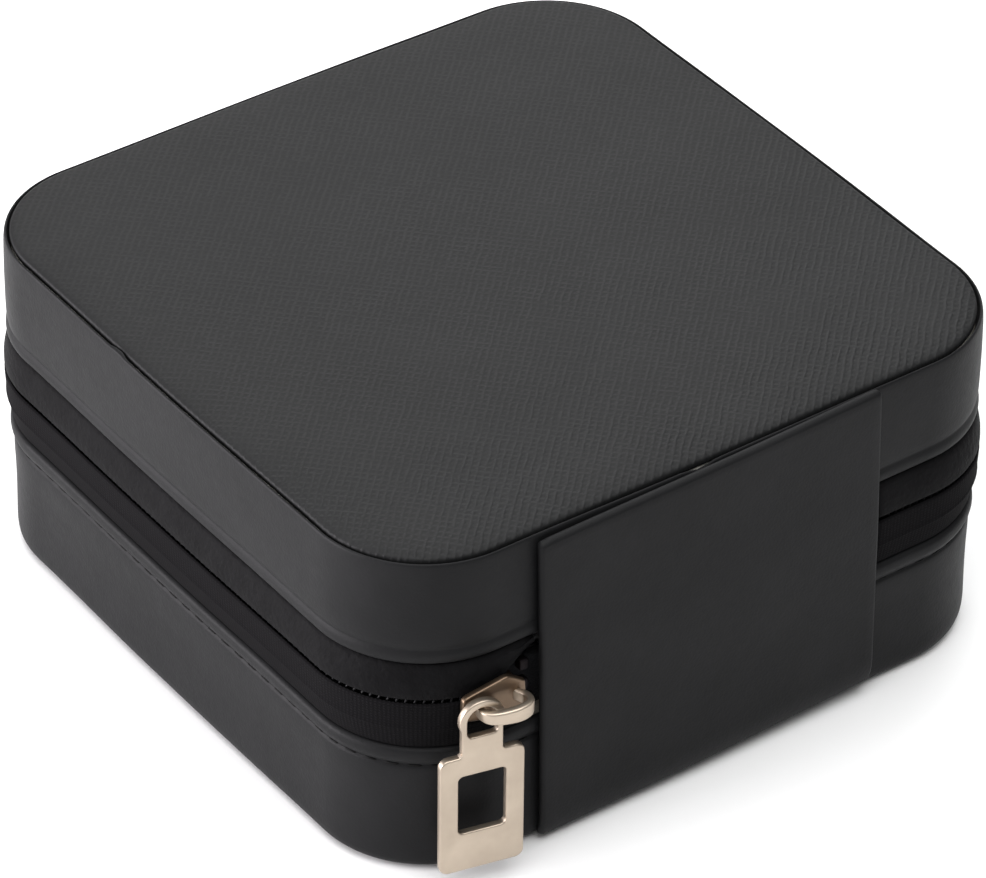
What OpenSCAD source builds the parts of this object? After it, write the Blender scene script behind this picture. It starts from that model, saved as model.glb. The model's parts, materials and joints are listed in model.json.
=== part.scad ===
// A small square travel jewelry case: a leather covered base and lid, closed by a zip round three
// sides and joined at the back by a leather hinge panel. The row stands on its underside at z = 0,
// centred on x = 0 and y = 0. The back, with the hinge panel and the zip slider, faces +Y.

/* [Case] */
// Width of the case, side to side
case_w = 100; // [85:1:140]
// Depth of the case, front to back
case_d = 100; // [90:1:140]
// Height of the closed case
case_h = 50; // [46:1:80]
// Radius of the four upright corners, at the outer surface
corner_r = 16; // [14:0.5:22]

/* [Leather and board] */
// Thickness of the leather on the outside
skin_t = 1; // [0.8:0.1:1.2]
// Thickness of the stiff board under the leather
board_t = 2; // [1.5:0.1:2.2]
// Thickness of the velvet covered liner board
liner_t = 1.5; // [1.2:0.1:2]
// Thickness of the leather on the underside
bottom_t = 1; // [0.8:0.1:1.4]
// Radius of the rounded edge under the base
bottom_round = 2.5; // [2:0.1:4]
// How far the edge of the lid's top panel stands in from the wall
rim_inset = 0.2; // [0:0.1:1]
// How far the leather wraps in under the base
wrap_under = 6; // [4:0.5:12]
// Height of the raised lip along the edge of base and lid
lip_h = 2; // [1.6:0.1:3]
// How far the lip stands proud of the wall
lip_proud = 0.25; // [0.1:0.05:0.4]
// Thickness of the top leather panel at its edge
top_t = 0.8; // [0.6:0.1:1.4]
// How far the top panel rises from its edge to its flat
crown = 0.9; // [0.4:0.1:1.5]
// Width of the rising edge of the top panel
crown_w = 4.4; // [3:0.2:8]
// Thickness of the foam under the top panel
padding_t = 1.2; // [0.8:0.1:3]

/* [Zip] */
// Height of the base's leather wall
base_h = 20; // [18:0.5:30]
// Height of the lower zip tape that shows
zip_lower_h = 8; // [7:0.5:10]
// Height of the upper zip tape that shows
zip_upper_h = 5.5; // [5:0.5:8]
// Thickness of the zip tape
tape_t = 0.6; // [0.4:0.1:0.7]
// How far the zip stands proud of the wall along its middle
tape_bulge = 0.55; // [0.2:0.05:0.6]
// Depth of tape held between the board and the liner
tape_margin = 8; // [5:0.5:10]
// Radius of each of the two zip coils
coil_r = 0.65; // [0.5:0.05:0.65]
// Width of each zip stop along the tape
stop_w = 1.4; // [1:0.1:2]
// Height the two tapes stand apart beside the hinge panel
tape_spread = 8; // [5:0.5:9]

/* [Hinge panel] */
// Width of the leather panel on the back
panel_w = 53; // [36:0.5:56]
// Centre of the panel, left or right of the middle
panel_x = 1.75; // [-4:0.25:2]
// Thickness of the panel
panel_t = 1.3; // [1:0.1:1.6]
// Height of the panel's lower edge
panel_low_z = 1; // [0.5:0.1:3]
// Distance from the panel's upper edge to the top of the case
panel_top_gap = 1; // [0.5:0.1:4]
// Bare fold between the panel's two halves
fold_gap = 1.6; // [1.4:0.1:3]

/* [Zip slider] */
// Length of the slider along the zip
slider_l = 8.8; // [7:0.1:9.4]
// Height of the slider at its shoulders
slider_h = 6.2; // [5:0.1:7]
// Height of the slider at its tail
tail_h = 3.8; // [3:0.1:4.4]
// Thickness of each of the slider's two plates
wing_t = 1; // [0.7:0.1:1]
// Gap from the tape to the slider's outer plate
wing_gap = 0.45; // [0.35:0.05:0.6]
// How far the slider hangs below the parting line
slider_drop = 0.3; // [0:0.1:1]
// How far round the corner the closed slider sits, in degrees; it turns further if the stops need the room
slider_angle = 6; // [4:0.5:10]
// Width of the slider's dividing post along the zip
post_w = 1.4; // [1:0.1:2]
// Height of the slider's bridge
bridge_h = 1.7; // [1.2:0.1:2]
// Thickness of the bridge's outer bar
bridge_t = 1; // [0.8:0.1:1.2]
// Clear depth under the bridge
bridge_gap = 2.45; // [2.3:0.05:3]
// Thickness of the bridge's leg inside the pull's eye
leg_t = 1.2; // [0.9:0.1:1.3]

/* [Pull] */
// Width of the pull's plate
pull_w = 11.3; // [8:0.1:14]
// Height of the pull's plate
pull_h = 18.5; // [14:0.1:20]
// Thickness of the pull
pull_t = 1.1; // [0.8:0.1:1.2]
// Radius of the plate's corners
pull_corner_r = 1.2; // [0.5:0.1:2]
// Width of the window in the pull
window_w = 6.4; // [4.8:0.1:7]
// Height of the window in the pull
window_h = 9.2; // [5:0.1:10]
// Distance from the plate's upper edge to the window
window_drop = 3.3; // [2:0.1:5]
// Radius of the window's corners
window_corner_r = 0.8; // [0.3:0.1:1.5]
// Inner radius of the pull's eye
eye_r = 2.05; // [1.9:0.05:2.4]
// Metal round the pull's eye
eye_wall = 1; // [0.8:0.1:1.2]
// Width of the neck between eye and plate
neck_w = 5.5; // [4:0.1:6]
// Distance from the swing axis down to the plate's upper edge
neck_drop = 5.8; // [5:0.1:8]
// How far the pull is turned towards the corner, in degrees
pull_twist = 7; // [0:1:10]

/* [Base tray] */
// Thickness of the fixed partition
partition_t = 2; // [1.2:0.1:3]
// Position of the partition, left or right of the middle
partition_x = 0; // [-8:1:8]
// Height of the partition above the tray's floor
partition_h = 15.5; // [10:0.5:18]
// Number of ring rolls
roll_count = 7; // [4:1:7]
// Gap between two ring rolls
roll_gap = 0.4; // [0.2:0.1:1]
// Height of the ring rolls
roll_h = 16; // [10:0.5:18]
// Thickness of the lift-out dividers
divider_t = 1.8; // [1.2:0.1:3]
// Height of the lift-out dividers
divider_h = 14.5; // [10:0.5:16]
// Distance between the two dividers
divider_pitch = 30; // [20:1:36]
// Clearance at each end of a divider
divider_clear = 0.5; // [0.2:0.1:0.6]

/* [Lid fittings] */
// Width of the elastic pocket
pocket_w = 78; // [60:1:80]
// Distance from the pocket's mouth to its closed end
pocket_l = 40; // [30:1:42]
// Clear depth of the pocket
pocket_d = 5; // [4.6:0.1:6]
// Thickness of the pocket's fabric
pocket_t = 1; // [0.8:0.1:1.4]
// Width of the elastic along the pocket's mouth
elastic_w = 4; // [3:0.5:6]
// Thickness of the elastic
elastic_t = 0.6; // [0.4:0.1:0.9]
// Distance between the necklace straps
strap_pitch = 24; // [16:1:26]
// Length of a necklace strap
strap_l = 13; // [10:0.5:15]
// Width of a necklace strap
strap_w = 7; // [5:0.5:9]
// Thickness of a necklace strap
strap_t = 1; // [0.8:0.1:1.2]
// Radius of the snap fastener's cap
snap_r = 2.4; // [1.8:0.1:2.8]
// Radius of the snap fastener's stud
stud_r = 1; // [0.7:0.1:1.2]

/* [Hidden] */
$fn = 64;
// Gap left between pieces that touch when assembled
seat = 0.05;
// Half sizes of the outer surface
half_w = case_w / 2;
half_d = case_d / 2;
// The parting line between base and lid, and the lid's lower edge
parting_z = base_h + zip_lower_h;
lid_low_z = parting_z + zip_upper_h;
// Depths in from the outer surface, negative inward
board_in = -skin_t - board_t;
liner_out = board_in - tape_t - 2 * seat;
liner_in = liner_out - liner_t;
// Floor of the tray
floor_z = bottom_t + seat + board_t + seat + liner_t;
// Heights through the lid's top, from the top down
top_low_z = case_h - crown - top_t;
padding_low_z = top_low_z - seat - padding_t;
lid_board_low_z = padding_low_z - seat - board_t * 0.7;
ceiling_z = lid_board_low_z - seat - liner_t;
// The liner walls stop short of the parting line
liner_lip_gap = 0.5;
lid_liner_low_z = parting_z + liner_lip_gap + 0.3;
base_liner_top_z = parting_z - liner_lip_gap;
// The panel's edges and the tapes' clearance from them
panel_low_x = panel_x - panel_w / 2;
panel_high_x = panel_x + panel_w / 2;
tape_end_gap = 0.3;
// The corner that the closed slider sits at
corner_x = half_w - corner_r;
corner_y = half_d - corner_r;
slider_z = parting_z - slider_drop;
// The slider's plates, measured out from the corner's upright axis
outer_wing = corner_r + tape_bulge + wing_gap;
bridge_low = outer_wing + wing_t;
coil_depth = tape_bulge - tape_t - seat - coil_r;
inner_wing_t = wing_t * 0.8;
coil_clear = 0.35;
coil_in_r = corner_r + coil_depth - coil_r;
inner_wing = sqrt(pow(coil_in_r, 2) - pow(slider_l / 2, 2)) - coil_clear - inner_wing_t;
// The top stops, beside the panel, and the least turn that keeps the slider's nose clear of them
stop_low_x = panel_high_x + 1;
nose_low_x = stop_low_x + stop_w + 0.3;
nose_r = sqrt(pow(inner_wing, 2) + pow(slider_l / 2, 2));
nose_turn = atan2(slider_l / 2, inner_wing);
least_turn = nose_turn + asin((nose_low_x - corner_x) / nose_r);
slider_turn = max(slider_angle, least_turn);
// The slider's post, near its nose, and the slot between the two tapes that it stands in
post_h = 1.8;
post_low_x = 0.2 - slider_l / 2;
post_clear = 0.3;
slot_half_h = post_h / 2 + post_clear;
slot_run = (post_low_x + post_w) * cos(slider_turn) + outer_wing * sin(slider_turn);
slot_x = corner_x + slot_run + post_clear;
slot_end_x = panel_high_x - 1;
// The pull's swing axis in the slider's own frame
leg_x = 2.5;
pull_out = bridge_low + bridge_gap / 2 - 0.07;
eye_drop = 0.85;
// The dividers and the ring rolls
tray_half_w = half_w + liner_in;
tray_half_d = half_d + liner_in;
roll_pitch = 2 * tray_half_d / roll_count;
// The pocket's closed end, clear of the liner's rounded corners
pocket_side_x = max(0, pocket_w / 2 - corner_x);
pocket_corner_y = corner_y + sqrt(pow(corner_r + liner_in, 2) - pow(pocket_side_x, 2)) - 0.3;
pocket_low_y = min(half_d + liner_in - 2, pocket_corner_y) - pocket_l;
// The necklace straps' hinge line
strap_root_y = -half_d - liner_in + 5.5;
strap_z = ceiling_z - 2;
bar_w = 3.6;
snap_gap = 0.15;

leather = "#3a3b3d";
board_grey = "#8a8378";
velvet = "#55565c";
tape_black = "#26272a";
champagne = "#d4c5b4";
bronze = "#8c7560";

// Sweeps a profile of (depth, height) round the case, with depth 0 on the outer surface
module around_case() {
    for (a = [0 : 3]) {
        turned = a % 2 == 1;
        run = (turned ? case_w : case_d) - 2 * corner_r;
        reach = turned ? half_d : half_w;
        rotate([0, 0, a * 90])
            translate([reach, run / 2, 0])
                rotate([90, 0, 0])
                    linear_extrude(run)
                        children();
        rotate([0, 0, a * 90])
            translate([reach - corner_r, run / 2, 0])
                rotate_extrude(angle = 90)
                    translate([corner_r, 0])
                        children();
    }
}

// The case's plan outline, moved in by a depth, with 0 the outer surface
module plan(depth) {
    r = corner_r + depth;
    square([2 * (half_w + depth), 2 * (corner_y)], center = true);
    square([2 * (corner_x), 2 * (half_d + depth)], center = true);
    for (sx = [-1, 1])
        for (sy = [-1, 1])
            translate([sx * corner_x, sy * corner_y])
                circle(r);
}

module slab(depth, low_z, high_z) {
    translate([0, 0, low_z])
        linear_extrude(high_z - low_z)
            plan(depth);
}

module band(depth_in, depth_out, low_z, high_z) {
    translate([depth_in, low_z])
        square([depth_out - depth_in, high_z - low_z]);
}

module rounded_rect(w, h, r) {
    square([w - 2 * r, h], center = true);
    square([w, h - 2 * r], center = true);
    for (sx = [-1, 1])
        for (sy = [-1, 1])
            translate([sx * (w / 2 - r), sy * (h / 2 - r)])
                circle(r);
}

// The quarter of a ring that turns a wall in under the base
module quarter_ring(outer_r, wall) {
    intersection() {
        difference() {
            circle(outer_r);
            circle(outer_r - wall);
        }
        translate([0, -outer_r])
            square(outer_r);
    }
}

module base_cover() {
    color(leather)
        around_case() {
            band(-skin_t, 0, bottom_round, base_h);
            band(-skin_t, lip_proud, base_h - lip_h, base_h - lip_proud);
            translate([-bottom_round, bottom_round])
                quarter_ring(bottom_round, bottom_t);
            band(-bottom_round - wrap_under, -bottom_round, 0, bottom_t);
        }
}

module base_bottom_panel() {
    color(leather)
        slab(-bottom_round - wrap_under - 2 * seat, 0, bottom_t);
}

module base_board() {
    color(board_grey) {
        slab(-bottom_round - seat, bottom_t + seat, bottom_t + seat + board_t);
        around_case()
            band(board_in, -skin_t - seat, bottom_round, base_h - seat);
    }
}

// The velvet covered wall that lines the base or the lid
module liner_wall(low_z, high_z) {
    color(velvet)
        difference() {
            slab(liner_out, low_z, high_z);
            slab(liner_in, low_z - 1, high_z + 1);
        }
}

// The velvet covered board that closes one end of a liner wall
module liner_board(low_z) {
    color(velvet)
        slab(liner_in - seat, low_z, low_z + liner_t);
}

module tray_partition() {
    color(velvet)
        translate([partition_x - partition_t / 2, -tray_half_d + seat, floor_z + seat])
            cube([partition_t, 2 * (tray_half_d - seat), partition_h]);
}

module ring_roll(i) {
    low_x = -tray_half_w + seat;
    high_x = partition_x - partition_t / 2 - seat;
    roll_r = (roll_pitch - roll_gap) / 2;
    y = -tray_half_d + (i - 0.5) * roll_pitch;
    color(velvet)
        intersection() {
            translate([low_x, y, floor_z + seat])
                rotate([90, 0, 90])
                    linear_extrude(high_x - low_x) {
                        translate([-roll_r, 0])
                            square([2 * roll_r, roll_h - roll_r]);
                        translate([0, roll_h - roll_r])
                            circle(roll_r);
                    }
            slab(liner_in - seat, floor_z, base_liner_top_z);
        }
}

module divider(side) {
    low_x = partition_x + partition_t / 2 + divider_clear;
    high_x = tray_half_w - divider_clear;
    color(velvet)
        translate([low_x, side * divider_pitch / 2 - divider_t / 2, floor_z + seat])
            cube([high_x - low_x, divider_t, divider_h]);
}

// Half of the zip tape: its margin, the turn over the shell's edge and the strip that shows
module tape_profile(edge_z, meet_z, margin_z) {
    s = meet_z > edge_z ? 1 : -1;
    mid_z = (edge_z + meet_z) / 2;
    polygon([
        [board_in - seat, margin_z],
        [board_in - seat, edge_z + s * seat],
        [-tape_t * 0.6, edge_z + s * seat],
        [tape_bulge * 0.75, mid_z],
        [tape_bulge, meet_z],
        [tape_bulge - tape_t, meet_z],
        [tape_bulge * 0.75 - tape_t, mid_z],
        [-tape_t * 1.6, edge_z + s * (seat + tape_t)],
        [board_in - seat - tape_t, edge_z + s * (seat + tape_t)],
        [board_in - seat - tape_t, margin_z]
    ]);
}

// The space behind the hinge panel, where there is no zip
module panel_space() {
    translate([panel_low_x - tape_end_gap, 0, 0])
        cube([panel_w + 2 * tape_end_gap, half_d + panel_t, case_h]);
}

// The height of a tape's edge where the two tapes part: side is 1 for the lid's tape, -1 for the base's
function parted_z(x, side) =
    let (
        share = (slot_x - x) / (slot_x - slot_end_x),
        near_z = slider_z + side * slot_half_h,
        far_z = parting_z + side * tape_spread / 2
    )
    near_z + share * (far_z - near_z);

// The wedge where the two tapes part, between the slider and the panel
module tape_wedge() {
    translate([0, half_d + tape_bulge + 1, 0])
        rotate([90, 0, 0])
            linear_extrude(-coil_depth + coil_r + tape_bulge + 2)
                polygon([
                    [slot_x, parted_z(slot_x, 1)],
                    [slot_end_x, parted_z(slot_end_x, 1)],
                    [slot_end_x, parted_z(slot_end_x, -1)],
                    [slot_x, parted_z(slot_x, -1)]
                ]);
}

module zip_tape_lower() {
    color(tape_black)
        difference() {
            around_case()
                tape_profile(base_h, parting_z - 0.1, base_h - tape_margin);
            panel_space();
            tape_wedge();
        }
}

module zip_tape_upper() {
    color(tape_black)
        difference() {
            around_case()
                tape_profile(lid_low_z, parting_z + 0.1, lid_low_z + tape_margin);
            panel_space();
            tape_wedge();
        }
}

// Cuts the coils short, behind the slider's post at one end and at the stop at the other
module coil_space() {
    low_x = panel_low_x - tape_end_gap - stop_w - 2;
    translate([low_x, 0, 0])
        cube([slot_x - low_x, half_d + panel_t, case_h]);
}

module coil(z) {
    color(tape_black)
        difference() {
            around_case()
                translate([coil_depth, z])
                    circle(coil_r);
            coil_space();
        }
}

// A metal stop set against the parted tape's edge
module top_stop(side) {
    stop_h = 1.6;
    edge_z = parted_z(stop_low_x + stop_w, side) - side * seat;
    color(bronze)
        translate([stop_low_x, half_d + coil_depth - coil_r, side > 0 ? edge_z - stop_h : edge_z])
            cube([stop_w, coil_r * 2, stop_h]);
}

module zip_bottom_stop() {
    color(bronze)
        translate([panel_low_x - tape_end_gap - stop_w - 1.4, half_d + coil_depth - coil_r, parting_z - 1.5])
            cube([stop_w, coil_r * 2, 3]);
}

module hinge_panel_half(low_z, high_z) {
    color(leather)
        translate([panel_low_x, half_d + lip_proud + seat, low_z])
            cube([panel_w, panel_t - lip_proud, high_z - low_z]);
}

module lid_cover() {
    color(leather)
        around_case() {
            band(-skin_t, 0, lid_low_z, top_low_z - seat);
            band(-skin_t, lip_proud, lid_low_z + lip_proud, lid_low_z + lip_h);
        }
}

module lid_board() {
    color(board_grey)
        difference() {
            slab(-skin_t - seat, lid_low_z + seat, padding_low_z - seat);
            slab(board_in, 0, lid_board_low_z);
        }
}

module lid_padding() {
    color("#c9c4b8")
        slab(-skin_t - seat, padding_low_z, top_low_z - seat);
}

module lid_top_panel() {
    flat_depth = -rim_inset - crown_w;
    color("#404143") {
        slab(flat_depth, top_low_z, case_h);
        around_case()
            polygon([
                [flat_depth, top_low_z],
                [-rim_inset, top_low_z],
                [-rim_inset, top_low_z + top_t],
                [flat_depth, case_h]
            ]);
    }
}

module pocket_panel() {
    depth = pocket_d + pocket_t;
    color(velvet)
        translate([-pocket_w / 2, pocket_low_y, ceiling_z - seat - depth])
            difference() {
                cube([pocket_w, pocket_l, depth]);
                translate([pocket_t, -1, pocket_t])
                    cube([pocket_w - 2 * pocket_t, pocket_l + 1 - pocket_t, depth]);
            }
}

module pocket_elastic() {
    z = ceiling_z - seat - pocket_d - pocket_t;
    color(tape_black)
        translate([-pocket_w / 2 + 1, pocket_low_y, z - seat - elastic_t])
            cube([pocket_w - 2, elastic_w, elastic_t]);
}

module necklace_bar() {
    length = 2 * strap_pitch + strap_w + 4;
    color(leather)
        translate([-length / 2, strap_root_y - 0.3 - bar_w, strap_z])
            cube([length, bar_w, ceiling_z - seat - strap_z]);
}

module necklace_strap(i) {
    color(leather)
        difference() {
            translate([(i - 2) * strap_pitch, strap_root_y + strap_l / 2, strap_z - strap_t / 2])
                linear_extrude(strap_t)
                    rounded_rect(strap_w, strap_l, strap_w * 0.3);
            snap_axis(i, strap_z - strap_t)
                cylinder(h = 2 * strap_t, r = stud_r + snap_gap);
        }
}

module snap_axis(i, z) {
    translate([(i - 2) * strap_pitch, strap_root_y + strap_l - strap_w / 2, z])
        children();
}

module snap_cap(i) {
    cap_t = 0.7;
    color(champagne)
        snap_axis(i, strap_z - strap_t / 2 - cap_t)
            cylinder(h = cap_t - seat, r = snap_r);
}

module snap_stud(i) {
    flange_t = 0.5;
    top_z = ceiling_z - seat;
    color(champagne)
        snap_axis(i, 0) {
            translate([0, 0, top_z - flange_t])
                cylinder(h = flange_t, r = snap_r * 0.9);
            translate([0, 0, strap_z - strap_t / 2 + 0.2])
                cylinder(h = top_z - strap_z + strap_t / 2 - 0.2, r = stud_r);
        }
}

// The slider's own frame: the corner's upright axis, +Y straight out through the slider's middle
module slider_frame() {
    translate([corner_x, corner_y, slider_z])
        rotate([0, 0, -slider_turn])
            children();
}

module wing_outline() {
    nose = -slider_l / 2;
    tail = slider_l / 2;
    shoulder = nose + 2.6;
    nose_h = slider_h * 0.55;
    polygon([
        [nose, -nose_h / 2], [shoulder, -slider_h / 2], [tail, -tail_h / 2],
        [tail, tail_h / 2], [shoulder, slider_h / 2], [nose, nose_h / 2]
    ]);
}

module slider_body() {
    color(bronze)
        slider_frame() {
            translate([0, outer_wing + wing_t, 0])
                rotate([90, 0, 0])
                    linear_extrude(wing_t)
                        wing_outline();
            translate([0, inner_wing + inner_wing_t, 0])
                rotate([90, 0, 0])
                    linear_extrude(inner_wing_t)
                        wing_outline();
            translate([post_low_x, inner_wing, -post_h / 2])
                cube([post_w, outer_wing + wing_t - inner_wing, post_h]);
        }
}

module slider_bridge() {
    nose = -slider_l / 2 + 0.5;
    tail = leg_x + leg_t / 2;
    inner_nose = nose + 1.3;
    inner_tail = leg_x - leg_t / 2;
    depth = bridge_gap + bridge_t;
    round_out = 1.5;
    round_in = 0.6;
    color(champagne)
        slider_frame()
            translate([0, bridge_low + seat, -bridge_h / 2])
                linear_extrude(bridge_h)
                    difference() {
                        intersection() {
                            translate([(nose + tail) / 2, 0])
                                rounded_rect(tail - nose, 2 * depth, round_out);
                            translate([nose, 0])
                                square([tail - nose, depth]);
                        }
                        translate([(inner_nose + inner_tail) / 2, 0])
                            rounded_rect(inner_tail - inner_nose, 2 * bridge_gap, round_in);
                    }
}

module pull_outline() {
    plate_z = -neck_drop - pull_h / 2;
    hole_low = -3.2;
    difference() {
        union() {
            translate([0, -eye_drop])
                circle(eye_r + eye_wall);
            translate([-neck_w / 2, -neck_drop - 1])
                square([neck_w, neck_drop + 1 - eye_drop]);
            translate([0, plate_z])
                rounded_rect(pull_w, pull_h, pull_corner_r);
        }
        translate([0, -eye_drop])
            circle(eye_r);
        translate([-eye_r, hole_low])
            square([2 * eye_r, -eye_drop - hole_low]);
        translate([0, -neck_drop - window_drop - window_h / 2])
            rounded_rect(window_w, window_h, window_corner_r);
    }
}

module pull_tab() {
    color(champagne)
        slider_frame()
            translate([leg_x, pull_out, 0])
                rotate([0, 0, -pull_twist])
                    rotate([90, 0, 0])
                        translate([0, 0, -pull_t / 2])
                            linear_extrude(pull_t)
                                pull_outline();
}

base_board();
base_cover();
base_bottom_panel();
liner_wall(floor_z - liner_t, base_liner_top_z);  // base_liner
liner_board(floor_z - liner_t);  // base_floor
tray_partition();
for (i = [1 : roll_count])
    ring_roll(i);
divider(-1);  // divider_front
divider(1);  // divider_back
zip_tape_lower();
coil(parting_z - coil_r - seat);  // zip_coil_lower
top_stop(-1);  // zip_top_stop_lower
zip_bottom_stop();
hinge_panel_half(panel_low_z, parting_z - fold_gap / 2);  // hinge_panel_base_half
hinge_panel_half(parting_z + fold_gap / 2, case_h - panel_top_gap);  // hinge_panel_lid_half
lid_board();
lid_cover();
lid_padding();
lid_top_panel();
liner_wall(lid_liner_low_z, ceiling_z + liner_t);  // lid_liner
liner_board(ceiling_z);  // lid_ceiling
zip_tape_upper();
coil(parting_z + coil_r + seat);  // zip_coil_upper
top_stop(1);  // zip_top_stop_upper
pocket_panel();
pocket_elastic();
necklace_bar();
for (i = [1 : 3]) {
    necklace_strap(i);
    snap_cap(i);
    snap_stud(i);
}
slider_body();
slider_bridge();
pull_tab();
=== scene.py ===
"""A small black leather travel jewelry case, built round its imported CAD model.

Everything is in metres in the CAD's frame: +Z up, the back with the hinge panel and slider at +Y.
Profiles round the case are lists of (offset, height) in millimetres, with offset 0 on the outer wall.
"""

import json
import math
from bisect import bisect_left

import bmesh
import bpy
from mathutils import Matrix, Vector, noise


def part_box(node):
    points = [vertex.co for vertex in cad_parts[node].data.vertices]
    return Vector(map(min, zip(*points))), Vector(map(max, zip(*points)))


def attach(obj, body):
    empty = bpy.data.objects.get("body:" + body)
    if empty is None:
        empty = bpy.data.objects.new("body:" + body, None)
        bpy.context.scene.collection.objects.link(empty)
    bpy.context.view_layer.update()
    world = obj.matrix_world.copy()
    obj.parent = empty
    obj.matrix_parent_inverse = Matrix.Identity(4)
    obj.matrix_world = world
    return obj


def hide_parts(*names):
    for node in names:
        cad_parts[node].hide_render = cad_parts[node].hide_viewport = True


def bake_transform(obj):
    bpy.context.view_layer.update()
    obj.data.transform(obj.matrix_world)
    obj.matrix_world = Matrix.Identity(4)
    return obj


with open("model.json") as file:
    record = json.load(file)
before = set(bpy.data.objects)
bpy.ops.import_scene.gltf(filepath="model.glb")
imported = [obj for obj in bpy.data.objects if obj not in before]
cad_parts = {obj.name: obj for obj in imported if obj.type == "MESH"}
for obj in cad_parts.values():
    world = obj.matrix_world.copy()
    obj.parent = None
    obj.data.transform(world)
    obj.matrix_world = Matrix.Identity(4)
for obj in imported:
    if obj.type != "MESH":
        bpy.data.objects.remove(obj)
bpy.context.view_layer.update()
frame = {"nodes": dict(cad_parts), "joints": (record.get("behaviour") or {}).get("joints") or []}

MM = 0.001
UP = Vector((0, 0, 1))
LIP_PROUD = 0.25 * MM
CORNER_R = 16 * MM
BOW = 0.3 * MM
SLIDER_ANGLE = math.radians(6)
PULL_TWIST = math.radians(7)
PANEL_TURN = 0.022

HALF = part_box("lid_cover")[1].x - LIP_PROUD
BASE_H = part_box("base_cover")[1].z
LID_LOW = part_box("lid_cover")[0].z
CASE_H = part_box("lid_top_panel")[1].z
PANEL_LOW, PANEL_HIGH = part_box("hinge_panel_base_half")[0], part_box("hinge_panel_lid_half")[1]
FOLD_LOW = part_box("hinge_panel_base_half")[1].z
FOLD_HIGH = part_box("hinge_panel_lid_half")[0].z
PARTING = (FOLD_LOW + FOLD_HIGH) / 2
STRAIGHT = HALF - CORNER_R
JOINTS = {j["name"]: j for j in frame["joints"]}


# ---------------------------------------------------------------- materials

class Shader:
    """A small helper that builds one procedural material."""

    def __init__(self, name):
        self.material = bpy.data.materials.new(name)
        self.material.use_nodes = True
        self.tree = self.material.node_tree
        self.shader = self.tree.nodes["Principled BSDF"]
        self.coords = self.tree.nodes.new("ShaderNodeTexCoord")

    def node(self, kind, **values):
        made = self.tree.nodes.new("ShaderNode" + kind)
        for key, value in values.items():
            if hasattr(made, key):
                setattr(made, key, value)
            else:
                made.inputs[key.replace("_", " ")].default_value = value
        return made

    def link(self, source, target):
        self.tree.links.new(source, target)
        return target

    def mapped(self, scale, turn=0.0, source="Object"):
        mapping = self.node("Mapping")
        mapping.inputs["Scale"].default_value = scale
        mapping.inputs["Rotation"].default_value = (0, 0, turn)
        if source == "cloth":
            uv = self.node("UVMap")
            uv.uv_map = "cloth"
            self.link(uv.outputs["UV"], mapping.inputs["Vector"])
        else:
            self.link(self.coords.outputs[source], mapping.inputs["Vector"])
        return mapping.outputs["Vector"]

    def noise(self, size, detail=2.0, roughness=0.5, vector=None):
        """Noise whose lumps are about size metres across."""
        made = self.node("TexNoise", Detail=detail, Roughness=roughness)
        made.inputs["Scale"].default_value = 1 / size
        self.link(vector or self.coords.outputs["Object"], made.inputs["Vector"])
        return made.outputs["Fac"]

    def cells(self, size, feature="F1"):
        """Cells about size metres across."""
        made = self.node("TexVoronoi", feature=feature)
        made.inputs["Scale"].default_value = 1 / size
        self.link(self.coords.outputs["Object"], made.inputs["Vector"])
        return made.outputs["Distance"]

    def math(self, operation, a, b):
        made = self.node("Math", operation=operation)
        for socket, value in zip(made.inputs, (a, b)):
            if isinstance(value, (int, float)):
                socket.default_value = value
            else:
                self.link(value, socket)
        return made.outputs[0]

    def ramp(self, value, stops):
        made = self.node("ValToRGB")
        elements = made.color_ramp.elements
        while len(elements) > len(stops):
            elements.remove(elements[-1])
        while len(elements) < len(stops):
            elements.new(0.5)
        for element, (position, colour) in zip(elements, stops):
            element.position = position
            element.color = (*colour, 1)
        self.link(value, made.inputs["Fac"])
        return made.outputs["Color"]

    def range(self, value, low, high, from_low=0.0, from_high=1.0):
        made = self.node("MapRange")
        made.inputs["From Min"].default_value = from_low
        made.inputs["From Max"].default_value = from_high
        made.inputs["To Min"].default_value = low
        made.inputs["To Max"].default_value = high
        self.link(value, made.inputs["Value"])
        return made.outputs["Result"]

    def colour(self, value, dark, light):
        self.link(self.ramp(value, [(0.25, dark), (0.75, light)]), self.shader.inputs["Base Color"])

    def roughness(self, value, low, high):
        self.link(self.range(value, low, high), self.shader.inputs["Roughness"])

    def bump(self, height, depth, normal=None):
        """Raises the surface by height times depth metres."""
        made = self.node("Bump")
        made.inputs["Strength"].default_value = 1.0
        made.inputs["Distance"].default_value = depth
        self.link(height, made.inputs["Height"])
        if normal is not None:
            self.link(normal, made.inputs["Normal"])
        self.link(made.outputs["Normal"], self.shader.inputs["Normal"])
        return made.outputs["Normal"]

    def set(self, **values):
        for key, value in values.items():
            self.shader.inputs[key.replace("_", " ")].default_value = value
        return self


def smooth_leather():
    s = Shader("smooth_leather")
    mottle = s.noise(9 * MM, 3)
    s.colour(mottle, (0.0074, 0.0075, 0.0080), (0.0104, 0.0105, 0.0112))
    grain = s.cells(0.42 * MM)
    fine = s.noise(0.16 * MM, 2)
    s.roughness(s.noise(1.2 * MM, 3), 0.46, 0.58)
    height = s.math("ADD", s.range(grain, 0.0, 1.0), s.math("MULTIPLY", fine, 0.6))
    s.bump(height, 0.016 * MM, s.bump(s.noise(7 * MM, 2), 0.10 * MM))
    return s.set(Specular_IOR_Level=0.105).material


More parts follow.
